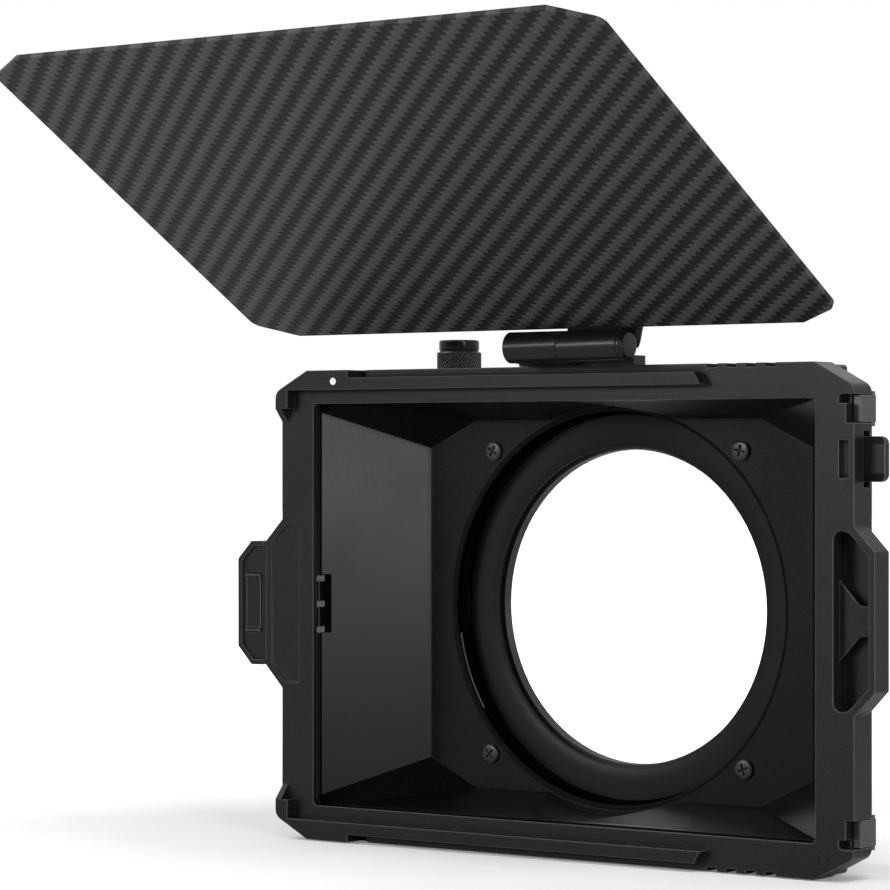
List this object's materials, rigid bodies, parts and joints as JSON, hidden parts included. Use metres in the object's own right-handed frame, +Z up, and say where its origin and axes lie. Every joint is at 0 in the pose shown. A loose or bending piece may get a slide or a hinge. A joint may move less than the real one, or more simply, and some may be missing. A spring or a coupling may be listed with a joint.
{
  "type": "matte box",
  "caption": "Clamp-on matte box with funnel hood, sliding filter tray, adapter ring with lens thread and a folding top flag on a friction hinge.",
  "frame": {"origin": "centre of the adapter ring's rear shoulder on the optical axis, where the lens rim seats", "axes": "+Y rearwards along the optical axis towards the camera, +Z up, +X to the right seen from the front"},
  "size_m": [0.1778, 0.1419, 0.1795],
  "materials": {
    "black_shell": "fine matte black moulding",
    "grey_shell": "satin dark grey moulding",
    "black_metal": "satin black anodised metal",
    "steel": "bright spring steel",
    "carbon_plate": "satin twill-woven carbon fibre plate",
    "white_paint": "white paint dot"
  },
  "bodies": {
    "housing": {"front_frame": "black_shell", "index_dot": "white_paint", "corner_catch_upper": "grey_shell", "corner_catch_lower": "grey_shell", "button_spring": "steel", "rear_housing": "black_shell", "bore_sleeve": "black_metal", "ring_spring": "steel", "panel_screw_1": "black_metal", "panel_screw_2": "black_metal", "panel_screw_3": "black_metal", "panel_screw_4": "black_metal", "frame_screw_1": "black_metal", "frame_screw_2": "black_metal", "frame_screw_3": "black_metal", "frame_screw_4": "black_metal", "hinge_base": "black_metal", "hinge_pin": "steel", "friction_washer": "steel", "hinge_screw_1": "black_metal", "hinge_screw_2": "black_metal"},
    "flag_leaf": {"hinge_barrel": "black_metal", "flag": "carbon_plate", "flag_screw_1": "black_metal", "flag_screw_2": "black_metal"},
    "tray": {"filter_tray": "black_shell", "tray_handle": "black_shell", "handle_screw_upper": "black_metal", "handle_screw_lower": "black_metal", "press_spring": "steel", "clip_spring_upper": "steel", "clip_spring_lower": "steel"},
    "tray_press": {"press_block": "grey_shell"},
    "tray_clip": {"filter_clip": "grey_shell"},
    "side_button": {"release_button": "grey_shell"},
    "clamp_screw": {"clamp_knob": "black_metal", "clamp_stud": "steel"},
    "shoe": {"clamp_shoe": "black_metal"},
    "lens_ring": {"adapter_ring": "black_metal", "lens_thread_ring": "black_metal"}
  },
  "joints": [
    {"name": "flag_hinge", "type": "hinge", "parent": "housing", "child": "flag_leaf", "pos_m": [0, -0.0414, 0.0606], "axis": [1, 0, 0], "range_deg": [-4, 120]},
    {"name": "tray_slide", "type": "slide", "parent": "housing", "child": "tray", "axis": [-1, 0, 0], "range_m": [0, 0.15]},
    {"name": "tray_press_slide", "type": "slide", "parent": "tray", "child": "tray_press", "axis": [0, 1, 0], "range_m": [0, 0.001], "stiffness_N_per_m": 800, "springref_m": -0.001, "deforming": ["press_spring"]},
    {"name": "filter_clip_slide", "type": "slide", "parent": "tray", "child": "tray_clip", "axis": [-1, 0, 0], "range_m": [0, 0.0019], "stiffness_N_per_m": 600, "springref_m": -0.001, "deforming": ["clip_spring_upper", "clip_spring_lower"]},
    {"name": "release_button_press", "type": "slide", "parent": "housing", "child": "side_button", "axis": [-1, 0, 0], "range_m": [0, 0.0014], "stiffness_N_per_m": 800, "springref_m": -0.001, "deforming": ["button_spring"]},
    {"name": "clamp_screw_turn", "type": "hinge", "parent": "housing", "child": "clamp_screw", "pos_m": [-0.05035, -0.0019, 0], "axis": [0, 0, -1], "range_deg": [0, 540]},
    {"name": "clamp_shoe_slide", "type": "slide", "parent": "housing", "child": "shoe", "axis": [0, 0, 1], "range_m": [0, 0.00105]},
    {"name": "lens_ring_turn", "type": "hinge", "parent": "housing", "child": "lens_ring", "pos_m": [0, 0, 0], "axis": [0, 1, 0], "continuous": true}
  ],
  "couplings": [
    {"joint": "clamp_screw_turn", "follows": "clamp_shoe_slide", "rad_per_m": 8975.9}
  ]
}
